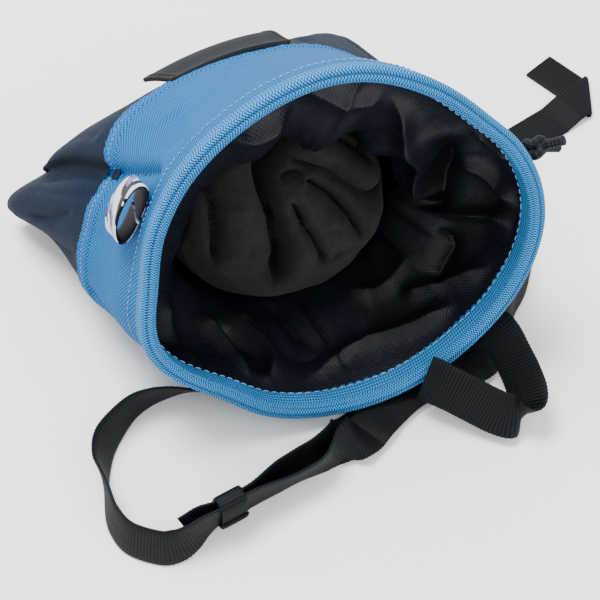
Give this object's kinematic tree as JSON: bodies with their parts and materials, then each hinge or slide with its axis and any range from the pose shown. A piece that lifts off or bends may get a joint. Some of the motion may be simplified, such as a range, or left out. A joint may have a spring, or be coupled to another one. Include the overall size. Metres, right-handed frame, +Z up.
{
  "type": "climbing chalk bag",
  "caption": "Soft round-mouthed bag lying on its back, with a stiff bound rim, a fleece lining, a waist belt with keeper, a carrying loop and a brush loop.",
  "frame": {"origin": "middle of the part's box on the surface that it lies on", "axes": "+Z up, the mouth opens towards -Y, +X to the right as one looks into the mouth"},
  "size_m": [0.2194, 0.2192, 0.1255],
  "materials": {
    "blue_cloth": "woven",
    "binding_tape": "woven tape",
    "navy_cloth": "woven",
    "nylon": "thin woven nylon",
    "fleece": "napped fleece",
    "webbing": "ribbed webbing",
    "print_tape": "printed tape",
    "label": "coated patch",
    "cord": "braided cord"
  },
  "bodies": {
    "root": {"body_shell": "navy_cloth", "collar": "blue_cloth", "rim_binding": "binding_tape", "lining_skirt": "nylon", "fleece_lining": "fleece", "label_patch": "label", "brush_loop": "print_tape", "haul_loop": "webbing", "belt_loop": "webbing", "waist_belt": "webbing", "belt_keeper": "webbing", "drawcord_knot": "cord"}
  },
  "joints": []
}
